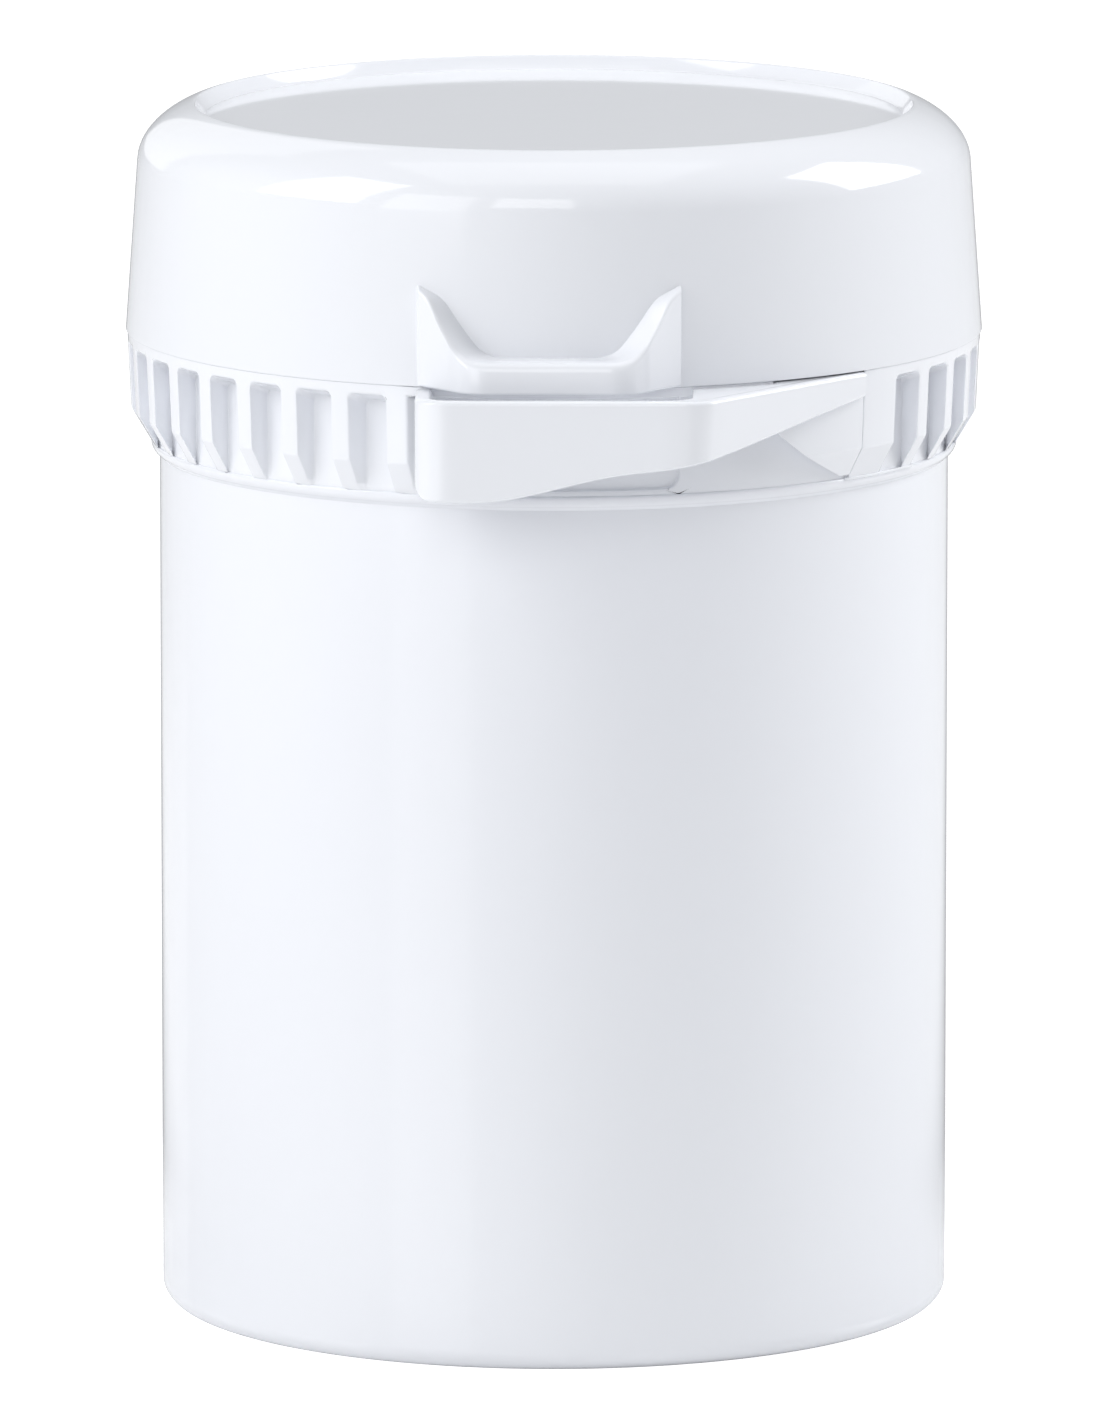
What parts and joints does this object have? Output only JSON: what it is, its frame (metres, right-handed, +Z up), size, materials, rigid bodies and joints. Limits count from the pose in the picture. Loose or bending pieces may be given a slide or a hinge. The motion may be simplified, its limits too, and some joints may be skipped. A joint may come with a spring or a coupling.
{
  "type": "plastic pot with lid",
  "caption": "Round white plastic pot with a ribbed tamper-evident collar, a tear-off front tab and a strap-hinged snap lid with a thumb lug, for glue, gouache or ink.",
  "frame": {"origin": "centre of the pot's base, in the plane it stands on", "axes": "+Z up along the pot's axis, -Y towards the lug and the tear tab at the front, +X to the right seen from the front"},
  "size_m": [0.0716, 0.0785, 0.1014],
  "materials": {
    "pot_white": "gloss",
    "closure_white": "gloss"
  },
  "bodies": {
    "pot_and_collar": {"pot": "pot_white", "collar": "closure_white", "hinge_left_collar_leaf": "closure_white", "hinge_right_collar_leaf": "closure_white"},
    "lid": {"lid": "closure_white", "hinge_left_lid_leaf": "closure_white", "hinge_right_lid_leaf": "closure_white"},
    "tear_tab": {"tear_tab": "closure_white"}
  },
  "joints": [
    {"name": "lid_hinge", "type": "hinge", "parent": "pot_and_collar", "child": "lid", "pos_m": [0, 0.0368, 0.08242], "axis": [-1, 0, 0], "range_deg": [0, 150]},
    {"name": "tab_tear", "type": "hinge", "parent": "pot_and_collar", "child": "tear_tab", "pos_m": [0.02579, -0.0247, 0.0782], "axis": [0, 0, 1], "range_deg": [0, 90]}
  ]
}
